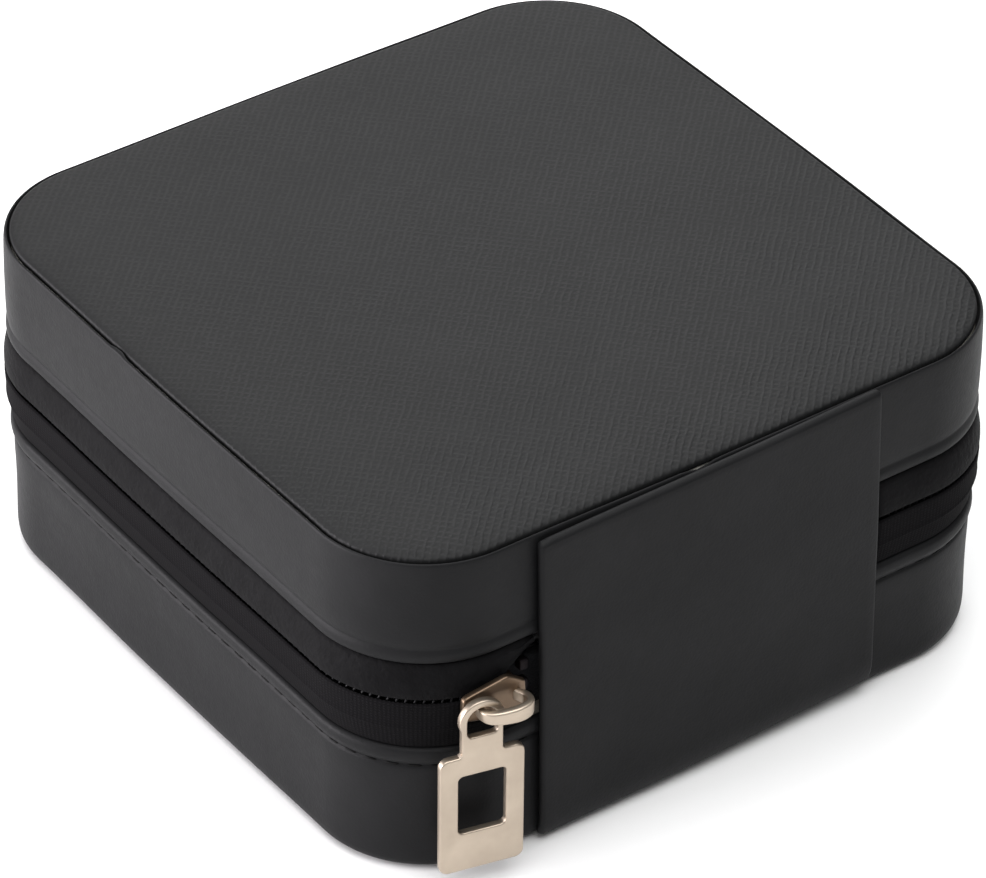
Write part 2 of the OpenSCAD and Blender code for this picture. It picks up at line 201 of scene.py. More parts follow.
def grained_leather():
    """The strip of finely pebbled leather under the lid's lip."""
    s = Shader("grained_leather")
    s.colour(s.noise(3 * MM, 3), (0.0038, 0.0036, 0.0040), (0.0062, 0.0060, 0.0065))
    pebbles = s.cells(0.75 * MM, feature="SMOOTH_F1")
    fine = s.noise(0.3 * MM, 3)
    height = s.math("ADD", pebbles, s.math("MULTIPLY", fine, 0.7))
    s.bump(height, 0.09 * MM)
    s.roughness(fine, 0.56, 0.72)
    return s.set(Specular_IOR_Level=0.045).material


def saffiano_leather():
    """Cross-hatched leather: long fine ridges along one diagonal, crossed by a fainter set."""
    s = Shader("saffiano_leather")
    wobble = s.node("TexNoise", Detail=2.0)
    wobble.inputs["Scale"].default_value = 1 / (3.2 * MM)
    s.link(s.coords.outputs["Object"], wobble.inputs["Vector"])
    shift = s.node("VectorMath", operation="MULTIPLY_ADD")
    s.link(wobble.outputs["Color"], shift.inputs[0])
    shift.inputs[1].default_value = (0.55 * MM,) * 3
    s.link(s.coords.outputs["Object"], shift.inputs[2])

    def ridges(turn, pitch):
        mapping = s.node("Mapping")
        mapping.inputs["Rotation"].default_value = (0, 0, turn)
        s.link(shift.outputs["Vector"], mapping.inputs["Vector"])
        wave = s.node("TexWave", wave_type="BANDS", bands_direction="X", Distortion=0.0)
        wave.inputs["Scale"].default_value = math.pi / (10 * pitch)
        s.link(mapping.outputs["Vector"], wave.inputs["Vector"])
        return s.math("POWER", wave.outputs["Fac"], 1.4)

    breaks = s.range(s.noise(1.1 * MM, 2), 0.45, 1.0, 0.35, 0.6)
    strong = s.math("MULTIPLY", ridges(math.radians(45), 0.93 * MM), breaks)
    crossing = ridges(math.radians(-45), 0.98 * MM)
    weak = s.math("MULTIPLY", crossing, s.range(s.noise(2.6 * MM, 2), 0.3, 0.75, 0.35, 0.65))
    height = s.math("MAXIMUM", strong, weak)
    total = s.math("ADD", height, s.math("MULTIPLY", s.noise(0.25 * MM, 2), 0.22))
    where = s.node("SeparateXYZ")
    s.link(s.coords.outputs["Object"], where.inputs[0])
    pressed = s.range(where.outputs["Y"], 0.3, 1.25, -30 * MM, 46 * MM)
    patches = s.range(s.noise(14 * MM, 2), 0.6, 1.0, 0.35, 0.65)
    depth = s.math("MULTIPLY", pressed, patches)
    s.bump(s.math("MULTIPLY", total, depth), 0.085 * MM)
    tone = s.math("ADD", s.math("MULTIPLY", s.math("MULTIPLY", height, depth), 0.34),
                  s.math("MULTIPLY", s.noise(16 * MM, 2), 0.66))
    s.colour(tone, (0.0092, 0.0094, 0.0097), (0.0124, 0.0127, 0.0131))
    s.roughness(height, 0.60, 0.50)
    return s.set(Specular_IOR_Level=0.15).material


def woven_tape():
    s = Shader("woven_tape")
    threads = s.mapped((1, 1, 1), source="cloth")
    warp = s.node("TexWave", wave_type="BANDS", bands_direction="X", Distortion=0.6)
    weft = s.node("TexWave", wave_type="BANDS", bands_direction="Y", Distortion=0.8)
    for wave, pitch in ((warp, 0.55), (weft, 0.42)):
        wave.inputs["Scale"].default_value = math.pi / (10 * pitch)
        wave.inputs["Detail"].default_value = 1
        wave.inputs["Detail Scale"].default_value = 2
        s.link(threads, wave.inputs["Vector"])
    weave = s.math("MULTIPLY", warp.outputs["Fac"], weft.outputs["Fac"])
    fuzz = s.noise(0.25 * MM, 3)
    s.bump(s.math("ADD", weave, s.math("MULTIPLY", fuzz, 0.5)), 0.05 * MM)
    s.colour(s.math("ADD", s.math("MULTIPLY", weave, 0.6), s.math("MULTIPLY", fuzz, 0.4)),
             (0.0044, 0.0041, 0.0046), (0.0080, 0.0076, 0.0083))
    s.roughness(fuzz, 0.75, 0.95)
    return s.set(Sheen_Weight=0.0, Sheen_Roughness=0.5, Specular_IOR_Level=0.04).material


def nylon_coil():
    s = Shader("nylon_coil")
    s.colour(s.noise(2 * MM, 2), (0.005, 0.005, 0.0055), (0.009, 0.009, 0.010))
    s.roughness(s.noise(0.5 * MM, 2), 0.4, 0.6)
    s.bump(s.noise(0.2 * MM, 2), 0.01 * MM)
    return s.set(Specular_IOR_Level=0.15).material


def thread(name, dark, light):
    s = Shader(name)
    twist = s.node("TexWave", wave_type="BANDS", bands_direction="DIAGONAL", Distortion=1.0)
    twist.inputs["Scale"].default_value = 1 / (1.6 * MM)
    s.link(s.coords.outputs["Object"], twist.inputs["Vector"])
    s.colour(twist.outputs["Fac"], dark, light)
    s.roughness(s.noise(0.3 * MM), 0.5, 0.7)
    s.bump(twist.outputs["Fac"], 0.03 * MM)
    return s.set(Specular_IOR_Level=0.08).material


def plated_metal(name, dark, light, rough_low, rough_high):
    """Plated zinc: faint casting waves, hairline scratches and small changes of tone."""
    s = Shader(name)
    s.colour(s.noise(5 * MM, 3), dark, light)
    hair = s.mapped((1 / (0.05 * MM), 1 / (6 * MM), 1 / (6 * MM)), math.radians(24))
    scratch = s.node("TexNoise", Detail=2.0)
    scratch.inputs["Scale"].default_value = 1.0
    s.link(hair, scratch.inputs["Vector"])
    wear = s.noise(1.5 * MM, 4, 0.6)
    both = s.math("ADD", s.math("MULTIPLY", scratch.outputs["Fac"], 0.5), s.math("MULTIPLY", wear, 0.5))
    s.roughness(both, rough_low, rough_high)
    s.bump(s.noise(2.5 * MM, 2), 0.012 * MM)
    return s.set(Metallic=1.0).material


def velvet(name, dark, light):
    s = Shader(name)
    pile = s.noise(0.35 * MM, 3, 0.65)
    brushed = s.noise(6 * MM, 3, 0.6)
    s.colour(s.math("ADD", s.math("MULTIPLY", pile, 0.4), s.math("MULTIPLY", brushed, 0.6)), dark, light)
    s.bump(pile, 0.14 * MM)
    s.roughness(brushed, 0.85, 1.0)
    return s.set(Sheen_Weight=0.8, Sheen_Roughness=0.35, Specular_IOR_Level=0.15).material


def card():
    s = Shader("grey_board")
    fibres = s.noise(1.1 * MM, 4, 0.6, s.mapped((1, 3, 1)))
    s.colour(fibres, (0.17, 0.155, 0.13), (0.30, 0.28, 0.24))
    s.bump(fibres, 0.05 * MM)
    s.roughness(fibres, 0.8, 0.95)
    return s.material


def foam():
    s = Shader("foam")
    bubbles = s.cells(0.5 * MM)
    s.colour(bubbles, (0.45, 0.43, 0.38), (0.75, 0.73, 0.67))
    s.bump(bubbles, 0.15 * MM)
    s.roughness(bubbles, 0.85, 1.0)
    return s.material


def ribbed_elastic():
    s = Shader("ribbed_elastic")
    ribs = s.node("TexWave", wave_type="BANDS", bands_direction="Y", Distortion=0.3)
    ribs.inputs["Scale"].default_value = math.pi / (10 * 0.7 * MM)
    s.link(s.coords.outputs["Object"], ribs.inputs["Vector"])
    s.colour(ribs.outputs["Fac"], (0.008, 0.008, 0.009), (0.03, 0.03, 0.032))
    s.bump(ribs.outputs["Fac"], 0.1 * MM)
    s.roughness(s.noise(0.4 * MM), 0.7, 0.9)
    return s.set(Sheen_Weight=0.3).material


LEATHER = smooth_leather()
GRAINED = grained_leather()
SAFFIANO = saffiano_leather()
TAPE = woven_tape()
COIL = nylon_coil()
STITCH = thread("dark_thread", (0.002, 0.002, 0.002), (0.006, 0.006, 0.006))
CHAMPAGNE = plated_metal("champagne_plating", (0.40, 0.335, 0.268), (0.50, 0.425, 0.343), 0.34, 0.5)
BRONZE = plated_metal("bronze_plating", (0.105, 0.072, 0.047), (0.175, 0.125, 0.088), 0.32, 0.48)
# Plating for the zip stops: it keeps a faint mauve tint, but its very dark colour is painted shade for stops
# that sit in shadow.
STOP_PLATING_PAINTED_SHADE = plated_metal("stop_plating_painted_shade", (0.010, 0.008, 0.009), (0.018, 0.015, 0.016), 0.5, 0.65)
VELVET = velvet("grey_velvet", (0.020, 0.020, 0.023), (0.048, 0.048, 0.053))
BOARD = card()
FOAM = foam()
ELASTIC = ribbed_elastic()


# ---------------------------------------------------------------- shapes

def show(name, data):
    made = bpy.data.objects.new(name, data)
    bpy.context.scene.collection.objects.link(made)
    return made


def clean(mesh, weld=0.0):
    """Welds points closer than weld metres and turns the faces outward."""
    bm = bmesh.new()
    bm.from_mesh(mesh)
    if weld:
        bmesh.ops.remove_doubles(bm, verts=bm.verts, dist=weld)
    bmesh.ops.recalc_face_normals(bm, faces=bm.faces)
    bm.to_mesh(mesh)
    bm.free()


def ring_faces(rings, count, first=0):
    """Faces that join each closed ring of count points to the next."""
    faces = []
    for a in range(first, first + (rings - 1) * count, count):
        for k in range(count):
            m = (k + 1) % count
            faces.append((a + k, a + m, a + count + m, a + count + k))
    return faces


def cap_faces(rings, count, first=0):
    """One face over the first ring and one over the last."""
    last = first + (rings - 1) * count
    return [tuple(range(first, first + count)), tuple(range(last, last + count))]


def add_mesh(name, verts, faces, material, uvs=None, smooth_angle=None):
    """A mesh object from plain lists. uvs are (along, across) in mm, one pair for each face corner."""
    mesh = bpy.data.meshes.new(name)
    mesh.from_pydata([tuple(v) for v in verts], [], faces)
    if uvs is not None:
        layer = mesh.uv_layers.new(name="cloth")
        layer.uv.foreach_set("vector", [n for pair in uvs for n in pair])
    mesh.materials.append(material)
    mesh.validate()
    clean(mesh)
    mesh.shade_smooth()
    if smooth_angle is not None:
        mesh.set_sharp_from_angle(angle=math.radians(smooth_angle))
    return show(name, mesh)


def catmull(points, steps, closed):
    """A smooth line through the points, with that many steps between each two."""
    made = []
    count = len(points)
    for i in range(count if closed else count - 1):
        if closed:
            p = [points[(i + k - 1) % count] for k in range(4)]
        else:
            p = [points[min(max(i + k - 1, 0), count - 1)] for k in range(4)]
        for j in range(steps):
            t = j / steps
            made.append(tuple(
                0.5 * (2 * b + (c - a) * t + (2 * a - 5 * b + 4 * c - d) * t * t
                       + (3 * b - a - 3 * c + d) * t ** 3)
                for a, b, c, d in zip(*p)
            ))
    if not closed:
        made.append(tuple(points[-1]))
    return made


class Station:
    """A place on the case's outline: its point, its outward normal and how far along it is."""

    def __init__(self, point, normal, along, bow):
        self.point, self.normal, self.along, self.bow = point, normal, along, bow

    def at(self, offset, z):
        out = offset + self.bow
        return Vector((self.point.x + self.normal.x * out, self.point.y + self.normal.y * out, z))


def bow_at(across):
    """How far a wall bows out, at a distance across it from its middle."""
    return BOW * math.cos(math.pi / 2 * min(1, abs(across) / STRAIGHT)) ** 2


def outline(start_x=0.0, end_x=0.0, step=1.3 * MM, corner_steps=22):
    """Stations round the case, leaving the back wall at start_x towards -X and coming back to it at end_x."""
    stations = []
    along = 0.0
    last = None
    for side in range(4):
        turn = Matrix.Rotation(math.radians(90 * side), 2)
        normal = turn @ Vector((0, 1))
        across = turn @ Vector((-1, 0))
        first = -start_x if side == 0 else -STRAIGHT
        spots = max(2, round((STRAIGHT - first) / step))
        ends = [first + (STRAIGHT - first) * i / spots for i in range(spots)]
        rows = [(normal * HALF + across * e, normal, e) for e in ends]
        centre = (normal + across) * STRAIGHT
        for i in range(corner_steps):
            angle = math.radians(90) * i / corner_steps
            direction = normal * math.cos(angle) + across * math.sin(angle)
            rows.append((centre + direction * CORNER_R, direction, STRAIGHT))
        for point, direction, e in rows:
            along += (point - last).length if last is not None else 0.0
            last = point
            stations.append(Station(point, direction, along, bow_at(e)))
    spots = max(2, round((STRAIGHT - end_x) / step))
    for i in range(spots + 1):
        x = STRAIGHT - (STRAIGHT - end_x) * i / spots
        point = Vector((x, HALF))
        along += (point - last).length
        last = point
        stations.append(Station(point, Vector((0, 1)), along, bow_at(x)))
    return stations


def on_outline(ring, along, offset, z):
    """The point that is along metres round the ring of stations."""
    k = bisect_left(ring, along, key=lambda station: station.along) - 1
    k = max(0, min(len(ring) - 2, k))
    a, b = ring[k], ring[k + 1]
    t = (along - a.along) / (b.along - a.along)
    return a.at(offset, z).lerp(b.at(offset, z), t)


def band(name, profile, material, stations, closed=True, soft=0.0, seed=0.0):
    """Sweeps a closed profile round the outline: (offset, z) points in mm, or a function of the station."""
    rings = []
    lines = []
    for s in stations:
        line = profile(s) if callable(profile) else profile
        lines.append(line)
        ring = []
        for offset, z in line:
            p = s.at(offset * MM, z * MM)
            if soft:
                push = noise.noise(Vector((p.x, p.y, p.z)) * 55 + Vector((seed, 0, 0))) * soft
                p = s.at(offset * MM + push, z * MM)
            ring.append(p)
        rings.append(ring)
    if closed:
        rings.pop()
    n = len(rings[0])
    verts = [p for ring in rings for p in ring]
    faces, uvs = [], []
    spans = len(rings) if closed else len(rings) - 1
    across = [0.0]
    line = lines[0]
    for i in range(n):
        a, b = line[i], line[(i + 1) % n]
        across.append(across[-1] + math.dist(a, b))
    for i in range(spans):
        j = (i + 1) % len(rings)
        u0, u1 = stations[i].along / MM, stations[i + 1].along / MM
        for k in range(n):
            m = (k + 1) % n
            faces.append((i * n + k, j * n + k, j * n + m, i * n + m))
            uvs += [(u0, across[k]), (u1, across[k]), (u1, across[k + 1]), (u0, across[k + 1])]
    if not closed:
        for i in (0, len(rings) - 1):
            faces.append(tuple(range(i * n, i * n + n)))
            uvs += [(0, 0)] * n
    return add_mesh(name, verts, faces, material, uvs)


def plate(name, edge, top, material, rings=22):
    """A plate with the case's outline. edge lists (inset, z) in mm up its side; its middle rises to top."""
    stations = outline()[:-1]
    n = len(stations)
    verts = [s.at(-inset * MM, z * MM) for inset, z in edge for s in stations]
    inner = verts[-n:]
    last_z = edge[-1][1] * MM
    for i in range(1, rings):
        share = 1 - i / rings
        z = last_z + (top - last_z) * (1 - share ** 2)
        verts += [Vector((p.x * share, p.y * share, z)) for p in inner]
    rows = len(edge) + rings - 1
    verts += [Vector((0, 0, top)), Vector((0, 0, edge[0][1] * MM))]
    faces = ring_faces(rows, n)
    last = (rows - 1) * n
    for k in range(n):
        m = (k + 1) % n
        faces.append((last + k, last + m, rows * n))
        faces.append((m, k, rows * n + 1))
    return add_mesh(name, verts, faces, material, smooth_angle=55)


def board_edge(inset, low, high, soft=0.3):
    """A plain rounded edge for a board from low to high, in metres, set in by inset in mm."""
    low, high = low / MM, high / MM
    return [
        (inset + soft, low), (inset + soft * 0.3, low + soft * 0.3), (inset, low + soft),
        (inset, high - soft), (inset + soft * 0.3, high - soft * 0.3), (inset + soft, high - 0.02),
    ]


def spread(low, high, round_r, steps):
    """Places from low to high, close together near both ends."""
    edge = [round_r * t for t in (0, 0.04, 0.15, 0.35, 0.65, 1.0)]
    middle = [low + round_r + (high - low - 2 * round_r) * i / steps for i in range(1, steps)]
    return [low + e for e in edge] + middle + [high - e for e in reversed(edge)]


def pillow(name, xs, zs, place, half_t, round_r, material, corner_r=0.0):
    """A thin slab with rounded edges. place(x, z, out) puts the point that is out metres off its middle."""
    x0, x1, z0, z1 = xs[0], xs[-1], zs[0], zs[-1]

    def fullness(x, z):
        inset = min(x - x0, x1 - x, z - z0, z1 - z)
        t = min(1, max(0, inset / round_r))
        return math.sqrt(max(0, 1 - (1 - t) ** 2))

    def cornered(x, z):
        if not corner_r:
            return x, z
        dx = corner_r - min(x - x0, x1 - x)
        dz = corner_r - min(z - z0, z1 - z)
        if dx <= 0 or dz <= 0:
            return x, z
        reach = max(dx, dz)
        length = math.hypot(dx, dz)
        scale = reach / length
        cx = x0 + corner_r if x - x0 < x1 - x else x1 - corner_r
        cz = z0 + corner_r if z - z0 < z1 - z else z1 - corner_r
        return cx + (x - cx) * scale, cz + (z - cz) * scale

    verts, faces, uvs = [], [], []
    nx, nz = len(xs), len(zs)
    for side in (1, -1):
        for z in zs:
            for x in xs:
                cx, cz = cornered(x, z)
                verts.append(place(cx, cz, side * half_t * fullness(x, z)))
    count = nx * nz
    for side in (0, 1):
        for j in range(nz - 1):
            for i in range(nx - 1):
                a = side * count + j * nx + i
                quad = (a, a + 1, a + nx + 1, a + nx)
                faces.append(quad if side == 0 else quad[::-1])
                corners = [(xs[i], zs[j]), (xs[i + 1], zs[j]), (xs[i + 1], zs[j + 1]), (xs[i], zs[j + 1])]
                pairs = [(x / MM, z / MM) for x, z in corners]
                uvs += pairs if side == 0 else pairs[::-1]
    made = add_mesh(name, verts, faces, material, uvs)
    clean(made.data, 1e-7)
    return made


def flat_metal(name, loops, thickness, bevel, material, matrix):
    """A plate cut to the loops, the first its outline and the rest its holes, with rounded edges."""
    curve = bpy.data.curves.new(name, "CURVE")
    curve.dimensions = "2D"
    curve.fill_mode = "BOTH"
    for loop in loops:
        spline = curve.splines.new("POLY")
        spline.points.add(len(loop) - 1)
        for point, (x, y) in zip(spline.points, loop):
            point.co = (x, y, 0, 1)
        spline.use_cyclic_u = True
    curve.extrude = thickness / 2 - bevel
    curve.bevel_depth = bevel
    curve.bevel_resolution = 3
    curve.offset = -bevel
    made = show(name + "_curve", curve)
    bpy.context.view_layer.update()
    mesh = bpy.data.meshes.new_from_object(made.evaluated_get(bpy.context.evaluated_depsgraph_get()))
    bpy.data.objects.remove(made)
    clean(mesh, 1e-6)
    mesh.transform(matrix)
    mesh.materials.clear()
    mesh.materials.append(material)
    mesh.shade_smooth()
    mesh.set_sharp_from_angle(angle=math.radians(35))
    return show(name, mesh)


def arc(cx, cy, r, a0, a1, steps):
    """Points on an arc, with angles in degrees."""
    return [
        (cx + r * math.cos(math.radians(a0 + (a1 - a0) * i / steps)),
         cy + r * math.sin(math.radians(a0 + (a1 - a0) * i / steps)))
        for i in range(steps + 1)
    ]


def rounded_box(x0, y0, x1, y1, r, steps=8):
    return (arc(x1 - r, y0 + r, r, -90, 0, steps) + arc(x1 - r, y1 - r, r, 0, 90, steps)
            + arc(x0 + r, y1 - r, r, 90, 180, steps) + arc(x0 + r, y0 + r, r, 180, 270, steps))


def tube(name, path, section, material):
    """Sweeps a closed section along a path: points of (side, up), or a function of the share along."""
    n = len(path)
    verts = []
    for i, p in enumerate(path):
        ahead = (path[min(i + 1, n - 1)] - path[max(i - 1, 0)]).normalized()
        side = ahead.cross(UP).normalized()
        lift = side.cross(ahead)
        ring = section(i / (n - 1)) if callable(section) else section
        verts += [p + side * u + lift * v for u, v in ring]
    count = len(verts) // n
    return add_mesh(name, verts, ring_faces(n, count) + cap_faces(n, count), material)


def finish_piece(piece, body, slot, *replaced):
    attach(piece, body)
    if replaced:
        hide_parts(*replaced)
    return piece


def dress(node, material):
    """Gives a CAD node that stays its procedural material."""
    mesh = frame["nodes"][node].data
    mesh.materials.clear()
    mesh.materials.append(material)


# ---------------------------------------------------------------- leather shells

def leather_shells():
    ring = outline()
    base_h, lid_low, top = BASE_H / MM, LID_LOW / MM, CASE_H / MM
    base = [
        (-8.4, 0.02), (-6.0, 0.02), (-3.6, 0.02), (-2.4, 0.1), (-1.2, 0.5), (-0.5, 1.3), (-0.28, 2.6),
        (-0.3, 5), (-0.36, 8.5), (-0.36, 12), (-0.3, 14.6),
        (-0.34, base_h - 3.4), (-0.62, base_h - 2.85), (-0.3, base_h - 2.35),
        (0.02, base_h - 1.7), (0.08, base_h - 1.1), (-0.06, base_h - 0.45), (-0.5, base_h - 0.06),
        (-0.95, base_h - 0.1), (-1.0, base_h - 1.0), (-1.02, base_h - 6), (-1.02, 8), (-1.02, 3.2),
        (-1.5, 1.8), (-2.6, 1.1), (-5.0, 1.0), (-8.4, 1.0),
    ]
    piece = band("base_leather", catmull(base, 3, True), LEATHER, ring, soft=0.1 * MM)
    finish_piece(piece, "base", "smooth_leather", "base_cover")
    lid = [
        (-1.0, lid_low + 0.1), (-0.45, lid_low + 0.04), (-0.04, lid_low + 0.4), (0.1, lid_low + 0.95),
        (0.06, lid_low + 1.5), (-0.1, lid_low + 1.95), (-0.2, lid_low + 2.25), (-0.1, lid_low + 2.7),
        (-0.02, lid_low + 3.4), (0.02, 39), (0.04, 42), (0.03, 44.4), (0.0, top - 3.6),
        (-0.03, top - 2.5), (-0.08, top - 1.7), (-0.18, top - 1.2), (-0.38, top - 1.02), (-0.56, top - 1.2),
        (-0.6, top - 1.7), (-0.66, top - 2.2), (-0.98, top - 2.6),
        (-1.02, 46), (-1.02, 44), (-1.02, 39), (-1.02, lid_low + 2),
    ]
    rim = catmull(lid, 3, True)

    def rim_line(station):
        """The rim, raised where its leather is joined and dipped beside the hinge panel's middle."""
        rise = 0.0
        for place, amount, width in (((50, -11), 0.3, 1.4), ((3.6, 50), -0.5, 1.6)):
            away = math.dist(station.point / MM, place)
            rise += amount * math.exp(-((away / width) ** 2))
        return [
            (x - 0.9 * max(0, rise) * (x < -0.3 and z > top - 1.6), z + rise * min(1, max(0, z - top + 2.4)))
            for x, z in rim
        ]

    piece = band("lid_leather", rim_line, LEATHER, ring, soft=0.1 * MM, seed=7)
    finish_piece(piece, "lid", "smooth_leather", "lid_cover")
    low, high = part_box("lid_top_panel")
    z = low.z / MM
    edge = [
        (1.15, z), (0.95, z + 0.06), (0.88, z + 0.3), (0.9, z + 0.6), (1.0, z + 0.88), (1.25, z + 1.06),
        (1.65, z + 1.18), (2.2, z + 1.27), (3.0, z + 1.37), (4.0, z + 1.45), (5.2, z + 1.52), (7.0, z + 1.58),
    ]
    piece = plate("lid_top_leather", catmull(edge, 2, False), high.z, SAFFIANO)
    finish_piece(piece, "lid", "saffiano_leather", "lid_top_panel")
    low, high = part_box("lid_padding")
    pad = plate("lid_foam", board_edge(1.1, low.z, high.z), high.z, FOAM, rings=8)
    finish_piece(pad, "lid", "foam", "lid_padding")
    low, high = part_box("base_bottom_panel")
    piece = plate("base_bottom_leather", board_edge(8.6, low.z, high.z, 0.2), high.z, LEATHER, rings=8)
    finish_piece(piece, "base", "smooth_leather", "base_bottom_panel")


# ---------------------------------------------------------------- zip

TAPE_BULGE = 0.55
ZIP_START_X = PANEL_LOW.x - 0.3 * MM
ZIP_END_X = PANEL_HIGH.x + 0.3 * MM
PART_X = STRAIGHT + 0.5 * MM


def parted(station, most):
    """How far, in mm, a tape's edge has left the parting line, between the slider and the hinge panel."""
    p = station.point
    if p.y < HALF - 1e-6 or p.x < 0:
        return 0.0
    t = min(1, max(0, (PART_X - p.x) / (PART_X - ZIP_END_X)))
    return most * t ** 0.8


def zip_tapes():
    ring = outline(ZIP_START_X, ZIP_END_X)
    base_h, lid_low, meet = BASE_H / MM, LID_LOW / MM, PARTING / MM
    bulge = TAPE_BULGE

    def lower(station):
        gap = parted(station, 3.2)
        top = meet - 0.32 - gap
        mid = (base_h + top) / 2
        out = bulge - gap * 0.25
        return [
            (-3.1, base_h - 7), (-3.1, base_h - 1), (-2.9, base_h + 0.12), (-0.9, base_h + 0.12),
            (-0.45, base_h + 0.3), (-0.1, base_h + 1.2), (out * 0.62, mid - 0.45),
            (out * 0.62 + 0.16, mid), (out * 0.75, mid + 0.45), (out * 0.98, top - 1.0), (out, top - 0.2),
            (out - 0.25, top), (out - 0.5, top - 0.2), (out - 0.55, top - 1.0),
            (out * 0.6 - 0.5, mid), (-0.75, base_h + 1.3), (-1.1, base_h + 0.75), (-3.0, base_h + 0.7),
            (-3.6, base_h + 0.4), (-3.6, base_h - 1), (-3.6, base_h - 7),
        ]

    def upper(station):
        gap = parted(station, 4.1)
        low = meet + 0.32 + gap
        mid = (lid_low + low) / 2
        out = bulge - gap * 0.2
        return [
            (-3.1, lid_low + 7), (-3.1, lid_low + 1), (-2.9, lid_low - 0.12), (-0.9, lid_low - 0.12),
            (-0.42, lid_low - 0.25), (0.02, lid_low - 0.9), (out * 0.6, mid + 0.3), (out * 0.92, mid - 0.7),
            (out, low + 0.5), (out - 0.1, low + 0.08), (out - 0.35, low), (out - 0.6, low + 0.3),
            (out * 0.6 - 0.6, mid), (-0.8, lid_low - 1.0), (-1.1, lid_low - 0.75), (-3.0, lid_low - 0.7),
            (-3.6, lid_low - 0.4), (-3.6, lid_low + 1), (-3.6, lid_low + 7),
        ]

    for name, profile, material, soft, body, node in (
        ("zip_tape_low", lower, TAPE, 0.06 * MM, "base", "zip_tape_lower"),
        ("zip_tape_high", upper, GRAINED, 0.08 * MM, "lid", "zip_tape_upper"),
    ):
        def smooth(station, profile=profile):
            return catmull(profile(station), 2, True)

        piece = band(name, smooth, material, ring, closed=False, soft=soft)
        finish_piece(piece, body, "zip_tape", node)


def zip_coil(name, side, body, replaced):
    """One nylon coil: a round wire wound along the tape's edge, flattened where it meets the other one."""
    pitch = 1.15 * MM
    wire = 0.2 * MM
    radius = 0.48 * MM
    depth = 0.62 * MM
    from_parting = 0.42 * MM + radius * 0.2
    steps = 9
    ring = outline(ZIP_START_X - 2.4 * MM, STRAIGHT + 0.4 * MM, step=0.6 * MM)
    path = []
    for i in range(int(ring[-1].along / pitch) * steps):
        angle = 2 * math.pi * (i / steps + (0.5 if side > 0 else 0))
        offset = -depth + radius * math.cos(angle)
        z = PARTING + side * from_parting + radius * 1.25 * math.sin(angle)
        path.append(on_outline(ring, i / steps * pitch, offset, z))
    section = [(wire * math.cos(a * math.pi / 3), wire * math.sin(a * math.pi / 3)) for a in range(6)]
    piece = tube(name, path, section, COIL)
    finish_piece(piece, body, "zip_coil", replaced)


def stitches():
    """The dark thread that shows in the crease under the base's lip."""
    ring = outline(ZIP_START_X, ZIP_END_X, step=0.9 * MM, corner_steps=28)
    verts, faces = [], []
    pitch, length = 3.0 * MM, 2.1 * MM
    z = BASE_H - 2.85 * MM
    r = 0.16 * MM
    start = 1.5 * MM
    rings = sides = 6
    ends = (0, rings - 1)
    while start + length < ring[-1].along:
        spine = []
        for j in range(rings):
            depth = -0.8 * MM if j in ends else -0.6 * MM
            spine.append(on_outline(ring, start + length * j / (rings - 1), depth, z))
        first = len(verts)
        for j, p in enumerate(spine):
            ahead = (spine[min(j + 1, rings - 1)] - spine[max(j - 1, 0)]).normalized()
            side = ahead.cross(UP)
            size = r * (0.55 if j in ends else 1.0)
            for a in range(sides):
                angle = 2 * math.pi * a / sides
                verts.append(p + side * size * math.cos(angle) + UP * size * math.sin(angle))
        faces += ring_faces(rings, sides, first) + cap_faces(rings, sides, first)
        start += pitch
    finish_piece(add_mesh("base_stitching", verts, faces, STITCH), "base", "zip_tape")


def zip_stops():
    bodies = {"zip_top_stop_lower": "base", "zip_top_stop_upper": "lid", "zip_bottom_stop": "base"}
    for node, body in bodies.items():
        low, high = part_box(node)
        size = high - low
        loops = [rounded_box(-size.x / 2, -size.z / 2, size.x / 2, size.z / 2, 0.35 * MM, 5)]
        where = Matrix.Translation((low + high) / 2) @ Matrix.Rotation(math.radians(90), 4, "X")
        # The stops take the dark plating, whose darkness is painted shade.
        piece = flat_metal(node + "_clip", loops, size.y, 0.25 * MM, STOP_PLATING_PAINTED_SHADE, where)
        finish_piece(piece, body, "slider_metal", node)


# ---------------------------------------------------------------- hinge panel

def hinge_panel():
    half_t = (PANEL_HIGH.y - HALF) / 2 - 0.05 * MM
    x0, x1 = PANEL_LOW.x, PANEL_HIGH.x
    z0, z1 = PANEL_LOW.z + 0.4 * MM, PANEL_HIGH.z
    middle = (z0 + z1) / 2

    def place(flat_x, flat_z, out):
        x = flat_x + (flat_z - middle) * PANEL_TURN
        z = flat_z - (flat_x - (x0 + x1) / 2) * PANEL_TURN
        over_zip = 0.22 * MM * math.exp(-(((z - PARTING) / (9 * MM)) ** 2))
        tuck = -0.18 * MM * max(0, (flat_z - (z1 - 3 * MM)) / (3 * MM)) ** 2
        tuck -= 0.75 * MM * max(0, ((z0 + 4 * MM) - flat_z) / (4 * MM)) ** 2
        wave = noise.noise(Vector((x * 45, z * 60, 3.1))) * 0.1 * MM
        fold = 0.12 * MM * math.exp(-(((z1 - flat_z - 0.7 * MM) / (0.5 * MM)) ** 2)) if out > 0 else 0
        return Vector((x, HALF + half_t + 0.1 * MM + bow_at(x) + over_zip + tuck + wave + fold + out, z))

    piece = pillow("hinge_leather", spread(x0, x1, 0.55 * MM, 44), spread(z0, z1, 0.55 * MM, 44), place,
                   half_t, 0.55 * MM, LEATHER, corner_r=0.9 * MM)
    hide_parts("hinge_panel_base_half", "hinge_panel_lid_half")
    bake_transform(piece)


# ---------------------------------------------------------------- slider and pull

AXIS = Vector(JOINTS["slider_travel"]["pos_m"])
SLIDER = Matrix.Translation(AXIS) @ Matrix.Rotation(-SLIDER_ANGLE, 4, "Z")
STAND = Matrix.Rotation(math.radians(90), 4, "X")


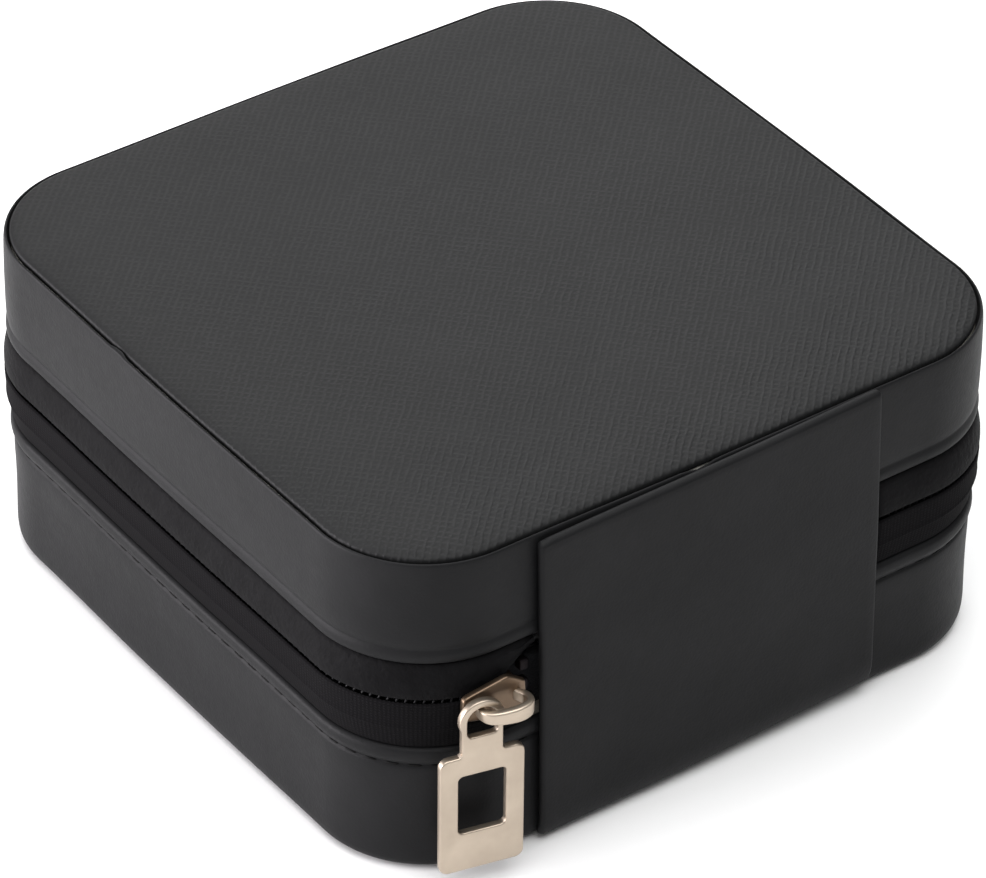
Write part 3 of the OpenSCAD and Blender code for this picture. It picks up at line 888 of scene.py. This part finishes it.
def slider():
    wing = 1.0 * MM
    outer = 17.0 * MM
    inner = 12.62 * MM
    outline_pts = [
        (-4.4, -1.3), (-3.9, -1.9), (-2.3, -2.95), (-1.5, -3.1), (-0.4, -2.85), (3.4, -2.0), (4.2, -1.6),
        (4.4, -1.0), (4.4, 1.0), (4.2, 1.6), (3.4, 2.0), (-0.4, 2.85), (-1.5, 3.1), (-2.3, 2.95), (-3.9, 1.9),
        (-4.4, 1.3),
    ]
    loop = [(x * MM, z * MM) for x, z in catmull(outline_pts, 3, True)]
    where = SLIDER @ Matrix.Translation((0, outer + wing / 2, 0)) @ STAND
    front = flat_metal("slider_front_plate", [loop], wing, 0.28 * MM, BRONZE, where)
    finish_piece(front, "slider", "slider_metal", "slider_body")
    where = SLIDER @ Matrix.Translation((0, inner + 0.4 * MM, 0)) @ STAND
    back = flat_metal("slider_back_plate", [loop], 0.8 * MM, 0.2 * MM, BRONZE, where)
    finish_piece(back, "slider", "slider_metal")
    post = [(x * MM, z * MM) for x, z in rounded_box(-4.2, -0.85, -2.8, 0.85, 0.4, 5)]
    where = SLIDER @ Matrix.Translation((0, (inner + outer + wing) / 2, 0)) @ STAND
    piece = flat_metal("slider_post", [post], outer - inner + 0.6 * MM, 0.1 * MM, BRONZE, where)
    finish_piece(piece, "slider", "slider_metal")

    points = [(-2.9, 17.6), (-3.3, 18.3), (-3.75, 19.2), (-3.7, 20.3), (-3.1, 21.05), (-1.9, 21.4),
              (-0.6, 21.35), (1.0, 21.0), (2.1, 20.4), (2.55, 19.4), (2.5, 18.4), (2.5, 17.7)]
    path = [SLIDER @ Vector((x * MM, y * MM, 0)) for x, y in catmull(points, 6, False)]

    def section(share):
        wide = 0.5 - 0.06 * math.cos(2 * math.pi * share)
        tall = 0.72 + 0.36 * math.exp(-(((share - 0.42) / 0.3) ** 2))
        return [(x * MM, z * MM) for x, z in rounded_box(-wide, -tall, wide, tall, 0.3, 4)]

    piece = tube("slider_crown", path, section, CHAMPAGNE)
    finish_piece(piece, "slider", "pull_metal", "slider_bridge")


def pull():
    swing = JOINTS["pull_swing"]
    turn = Matrix.Rotation(-SLIDER_ANGLE - PULL_TWIST, 4, "Z")
    where = Matrix.Translation(swing["pos_m"]) @ turn @ STAND
    thickness = 1.1 * MM
    eye, wall, drop = 2.05, 1.0, 0.85
    neck, plate_top, w, h = 5.5 / 2, -5.8, 11.3 / 2, 18.5
    neck_low, shoulder = -4.0, 0.25
    r = 1.2
    ring_r = eye + wall
    meet = math.degrees(math.acos(neck / ring_r))
    outer = arc(0, -drop, ring_r, -meet, 180 + meet, 30)
    outer += [(-neck, neck_low), (-neck, plate_top), (-neck - 0.3, plate_top - shoulder)]
    outer += arc(-w + r, plate_top - shoulder - r, r, 90, 180, 8)
    outer += arc(-w + r, plate_top - h + r, r, 180, 270, 8)
    outer += arc(w - r, plate_top - h + r, r, 270, 360, 8)
    outer += arc(w - r, plate_top - shoulder - r, r, 0, 90, 8)
    outer += [(neck + 0.3, plate_top - shoulder), (neck, plate_top), (neck, neck_low)]
    hole_low, hole_r = -3.2, 0.7
    hole = arc(0, -drop, eye, 0, 180, 18)
    hole += arc(-eye + hole_r, hole_low + hole_r, hole_r, 180, 270, 5)
    hole += arc(eye - hole_r, hole_low + hole_r, hole_r, 270, 360, 5)
    window_w, window_h, window_top = 6.4, 9.2, plate_top - 3.3
    window = rounded_box(-window_w / 2, window_top - window_h, window_w / 2, window_top, 0.7, 6)
    loops = [[(x * MM, z * MM) for x, z in loop] for loop in (outer, hole, window)]
    piece = flat_metal("pull_plate", loops, thickness, 0.24 * MM, CHAMPAGNE, where)
    finish_piece(piece, "pull", "pull_metal", "pull_tab")


# ---------------------------------------------------------------- inside the base

def liner(name, node, board, body, up):
    """A velvet wall with a soft rim, and the padded board that closes its far end."""
    low, high = (corner.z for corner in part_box(node))
    floor_low, floor_high = (corner.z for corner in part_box(board))
    liner_out, liner_in = -3.72, -5.18
    rim, foot = (high / MM, low / MM) if up else (low / MM, high / MM)
    s = 1 if up else -1
    profile = [
        (liner_out, foot + s * 0.1), (liner_out, (foot + rim) / 2), (liner_out, rim - s * 0.7),
        (liner_out - 0.3, rim - s * 0.1), ((liner_out + liner_in) / 2, rim), (liner_in + 0.3, rim - s * 0.1),
        (liner_in, rim - s * 0.7), (liner_in, (foot + rim) / 2), (liner_in, foot + s * 0.1),
    ]
    walls = band(name + "_walls", profile, VELVET, outline())
    finish_piece(walls, body, "velvet", node)
    edge = board_edge(-liner_in + 0.05, floor_low, floor_high, 0.5)
    floor = plate(name + "_board", edge, floor_high, VELVET, rings=12)
    if not up:
        mirror = Matrix.Diagonal((1, 1, -1, 1))
        floor.data.transform(Matrix.Translation((0, 0, floor_low + floor_high)) @ mirror)
        floor.data.flip_normals()
    finish_piece(floor, body, "velvet", board)


def tray():
    liner("base_velvet", "base_liner", "base_floor", "base", True)
    liner("lid_velvet", "lid_liner", "lid_ceiling", "lid", False)
    bodies = {"tray_partition": "base", "divider_front": "front_divider", "divider_back": "back_divider"}
    for node, body in bodies.items():
        low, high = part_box(node)
        size = high - low
        middle = (low + high) / 2
        along = Vector((0, 1, 0)) if size.y > size.x else Vector((1, 0, 0))
        across = Vector((1, 0, 0)) if size.y > size.x else Vector((0, 1, 0))
        length, half_t = max(size.x, size.y), min(size.x, size.y) / 2

        def place(x, z, out, along=along, across=across, middle=middle):
            return Vector((middle.x, middle.y, z)) + along * x + across * out

        piece = pillow(node + "_velvet", spread(-length / 2, length / 2, half_t, 24),
                       spread(low.z, high.z, half_t, 10), place, half_t, half_t, VELVET)
        finish_piece(piece, body, "velvet", node)


def ring_rolls():
    count = sum(1 for n in frame["nodes"] if n.startswith("ring_roll_"))
    for i in range(1, count + 1):
        node = f"ring_roll_{i}"
        low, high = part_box(node)
        r = (high.y - low.y) / 2
        cy, cz = (low.y + high.y) / 2, high.z - r
        x0, x1 = low.x, high.x
        steps, sides = 30, 28
        wall_depth = 5.22 * MM
        inner = HALF - wall_depth
        inner_r = CORNER_R - wall_depth
        rings = []
        for j in range(steps + 1):
            t = j / steps
            x = x0 + (x1 - x0) * (0.5 - 0.5 * math.cos(math.pi * t))
            edge = min(x - x0, x1 - x)
            full = math.sqrt(max(0.0, 1 - (1 - min(1, edge / (2.2 * MM))) ** 2))
            size = 0.62 + 0.38 * full
            ring = []
            for k in range(sides):
                angle = 2 * math.pi * k / sides
                dy, dz = math.cos(angle), math.sin(angle)
                y = cy + r * size * dy
                z = cz + r * size * dz if dz > 0 else cz + (cz - low.z) * size * max(-1, dz * 1.35)
                limit = abs(y) - (inner - inner_r)
                back = (inner - inner_r) + math.sqrt(max(0, inner_r ** 2 - max(0, limit) ** 2))
                px = max(x, -back + 0.1 * MM) if limit > 0 else x
                soft = noise.noise(Vector((px, y, z)) * 160 + Vector((i * 3.7, 0, 0))) * 0.16 * MM
                ring.append(Vector((px, y + soft * dy, z + soft * abs(dz))))
            rings.append(ring)
        verts = [p for ring in rings for p in ring]
        faces = ring_faces(steps + 1, sides) + cap_faces(steps + 1, sides)
        piece = add_mesh(f"ring_roll_{i}_velvet", verts, faces, VELVET)
        finish_piece(piece, "base", "velvet", node)


# ---------------------------------------------------------------- inside the lid

def pocket():
    low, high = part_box("pocket_panel")
    band_low, band_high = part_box("pocket_elastic")
    x0, x1, y0, y1 = low.x, high.x, low.y, high.y
    depth = high.z - low.z
    nx, ny = 110, 46
    verts, faces = [], []
    thick = 0.45 * MM
    gathers = 26

    def sheet_point(u, v, out):
        """u across the pocket from -1 to 1, v from the mouth to the closed end."""
        side = (1 - abs(u)) / 0.09
        end = (1 - v) / 0.13
        bag = min(1, side) * min(1, end)
        bag = bag * bag * (3 - 2 * bag)
        pleat = math.cos(gathers * math.pi * u + 0.7 * math.sin(3 * u)) * 0.42 * MM
        pleat *= (1 - v) ** 2.2 * min(1, side)
        z = high.z - thick - (depth - 2.1 * thick) * bag + pleat * 0.7
        x = (x0 + x1) / 2 + u * (x1 - x0) / 2
        y = y0 + v * (y1 - y0)
        return Vector((x, y, z + out))

    for out in (-thick / 2, thick / 2):
        for j in range(ny + 1):
            for i in range(nx + 1):
                verts.append(sheet_point(-1 + 2 * i / nx, j / ny, out))
    row = nx + 1
    layer = row * (ny + 1)
    for j in range(ny):
        for i in range(nx):
            a = j * row + i
            faces.append((a, a + row, a + row + 1, a + 1))
            faces.append((layer + a, layer + a + 1, layer + a + row + 1, layer + a + row))
    border = [i for i in range(nx)] + [j * row + nx for j in range(ny)]
    border += [ny * row + i for i in range(nx, 0, -1)] + [j * row for j in range(ny, 0, -1)]
    for k, a in enumerate(border):
        b = border[(k + 1) % len(border)]
        faces.append((a, b, layer + b, layer + a))
    piece = add_mesh("pocket_velvet", verts, faces, VELVET)
    finish_piece(piece, "lid", "velvet", "pocket_panel")

    half = Vector(((band_high.x - band_low.x) / 2, (band_high.y - band_low.y) / 2, 0))
    middle = (band_low + band_high) / 2

    def place(x, y, out):
        u = x / half.x
        side = min(1, (1 - abs(u)) / 0.06 + 0.15)
        pleat = math.cos(gathers * math.pi * u + 0.7 * math.sin(3 * u)) * 0.16 * MM * side
        return Vector((middle.x + x, middle.y + y, middle.z + pleat + out))

    elastic = pillow("pocket_elastic_band", spread(-half.x, half.x, 0.25 * MM, 100),
                     spread(-half.y, half.y, 0.25 * MM, 8), place, 0.26 * MM, 0.25 * MM, ELASTIC)
    finish_piece(elastic, "lid", "elastic", "pocket_elastic")


def straps():
    low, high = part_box("necklace_bar")
    middle, size = (low + high) / 2, high - low

    def bar_place(x, y, out):
        return Vector((middle.x + x, middle.y + y, middle.z + out))

    bar = pillow("necklace_bar_leather", spread(-size.x / 2, size.x / 2, 0.5 * MM, 30),
                 spread(-size.y / 2, size.y / 2, 0.5 * MM, 8), bar_place, size.z / 2, 0.5 * MM, LEATHER,
                 corner_r=0.8 * MM)
    finish_piece(bar, "lid", "smooth_leather", "necklace_bar")
    for i in (1, 2, 3):
        body = f"strap_{i}"
        low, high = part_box(f"necklace_strap_{i}")
        middle, size = (low + high) / 2, high - low

        def place(x, y, out, middle=middle, size=size):
            lift = 0.18 * MM * math.cos(math.pi * y / size.y)
            return Vector((middle.x + x, middle.y + y, middle.z - lift * 0.5 + out))

        strap = pillow(f"necklace_strap_{i}_leather", spread(-size.x / 2, size.x / 2, 0.3 * MM, 12),
                       spread(-size.y / 2, size.y / 2, 0.3 * MM, 22), place, size.z / 2 - 0.02 * MM, 0.3 * MM,
                       LEATHER, corner_r=2.0 * MM)
        finish_piece(strap, body, "smooth_leather", f"necklace_strap_{i}")
        low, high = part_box(f"snap_cap_{i}")
        centre = (low + high) / 2
        r = (high.x - low.x) / 2
        profile = [(0.45, 0.0), (0.72, 0.06), (0.9, 0.22), (1.0, 0.55), (1.0, 0.8), (0.96, 1.0)]
        verts = []
        sides = 36
        for share, rise in profile:
            for k in range(sides):
                angle = 2 * math.pi * k / sides
                x, y = centre.x + r * share * math.cos(angle), centre.y + r * share * math.sin(angle)
                verts.append(Vector((x, y, low.z + (high.z - low.z) * rise)))
        rows = len(profile)
        faces = ring_faces(rows, sides) + cap_faces(rows, sides)
        cap = add_mesh(f"snap_cap_{i}_dome", verts, faces, CHAMPAGNE, smooth_angle=40)
        finish_piece(cap, body, "pull_metal", f"snap_cap_{i}")
        dress(f"snap_stud_{i}", CHAMPAGNE)


# ---------------------------------------------------------------- stage

def studio():
    floor_mesh = bpy.data.meshes.new("floor")
    reach = 1.6
    corners = [(-reach, -reach, 0), (reach, -reach, 0), (reach, reach, 0), (-reach, reach, 0)]
    floor_mesh.from_pydata(corners, [], [(0, 1, 2, 3)])
    floor = show("floor", floor_mesh)
    paint = Shader("pale_floor")
    paint.colour(paint.noise(0.4, 2), (0.90, 0.90, 0.90), (0.92, 0.92, 0.92))
    paint.set(Roughness=0.9, Specular_IOR_Level=0.1)
    floor_mesh.materials.append(paint.material)

    world = bpy.data.worlds.new("studio")
    bpy.context.scene.world = world
    world.use_nodes = True
    world.node_tree.nodes["Background"].inputs["Color"].default_value = (1, 1, 1, 1)
    world.node_tree.nodes["Background"].inputs["Strength"].default_value = 0.22

    def softbox(name, where, aim, size, power, tint=(1, 1, 1)):
        light = bpy.data.lights.new(name, "AREA")
        light.shape = "RECTANGLE"
        light.size, light.size_y = size
        light.energy = power
        light.color = tint
        lamp = show(name, light)
        lamp.location = where
        lamp.rotation_mode = "QUATERNION"
        lamp.rotation_quaternion = (Vector(aim) - Vector(where)).to_track_quat("-Z", "Y")

    centre = (0, 0, 0.025)
    softbox("side", (0.80, -0.42, 0.16), centre, (0.8, 0.34), 16, (1.0, 0.96, 1.0))
    softbox("back", (-0.50, -0.70, 0.66), centre, (0.9, 0.7), 6)
    softbox("overhead", (0.1, 0.15, 1.0), centre, (1.2, 1.2), 17)


def camera():
    """Looks down on the corner between the back and the right-hand side, through a long lens."""
    azimuth, elevation, roll = math.radians(144.2115), math.radians(36.8334), math.radians(0.6077)
    target = Vector((1.942, 3.868, 24.0)) * MM
    distance = 802.18 * MM
    back = Vector((math.sin(azimuth) * math.cos(elevation), -math.cos(azimuth) * math.cos(elevation),
                   math.sin(elevation)))
    right = Vector((math.cos(azimuth), math.sin(azimuth), 0))
    up = back.cross(right)
    side = right * math.cos(roll) + up * math.sin(roll)
    top = -right * math.sin(roll) + up * math.cos(roll)
    data = bpy.data.cameras.new("camera")
    data.sensor_width = 36
    data.lens = 223.47
    data.clip_start, data.clip_end = 0.01, 20
    lens = show("camera", data)
    turn = Matrix((side, top, back)).transposed().to_4x4()
    lens.matrix_world = Matrix.Translation(target + back * distance) @ turn
    bpy.context.scene.camera = lens
    bpy.context.scene.view_settings.view_transform = "Standard"


camera()
studio()
leather_shells()
zip_tapes()
zip_coil("zip_coil_low", -1, "base", "zip_coil_lower")
zip_coil("zip_coil_high", 1, "lid", "zip_coil_upper")
stitches()
zip_stops()
hinge_panel()
slider()
pull()
tray()
ring_rolls()
pocket()
straps()
dress("base_board", BOARD)
dress("lid_board", BOARD)

bpy.context.view_layer.update()
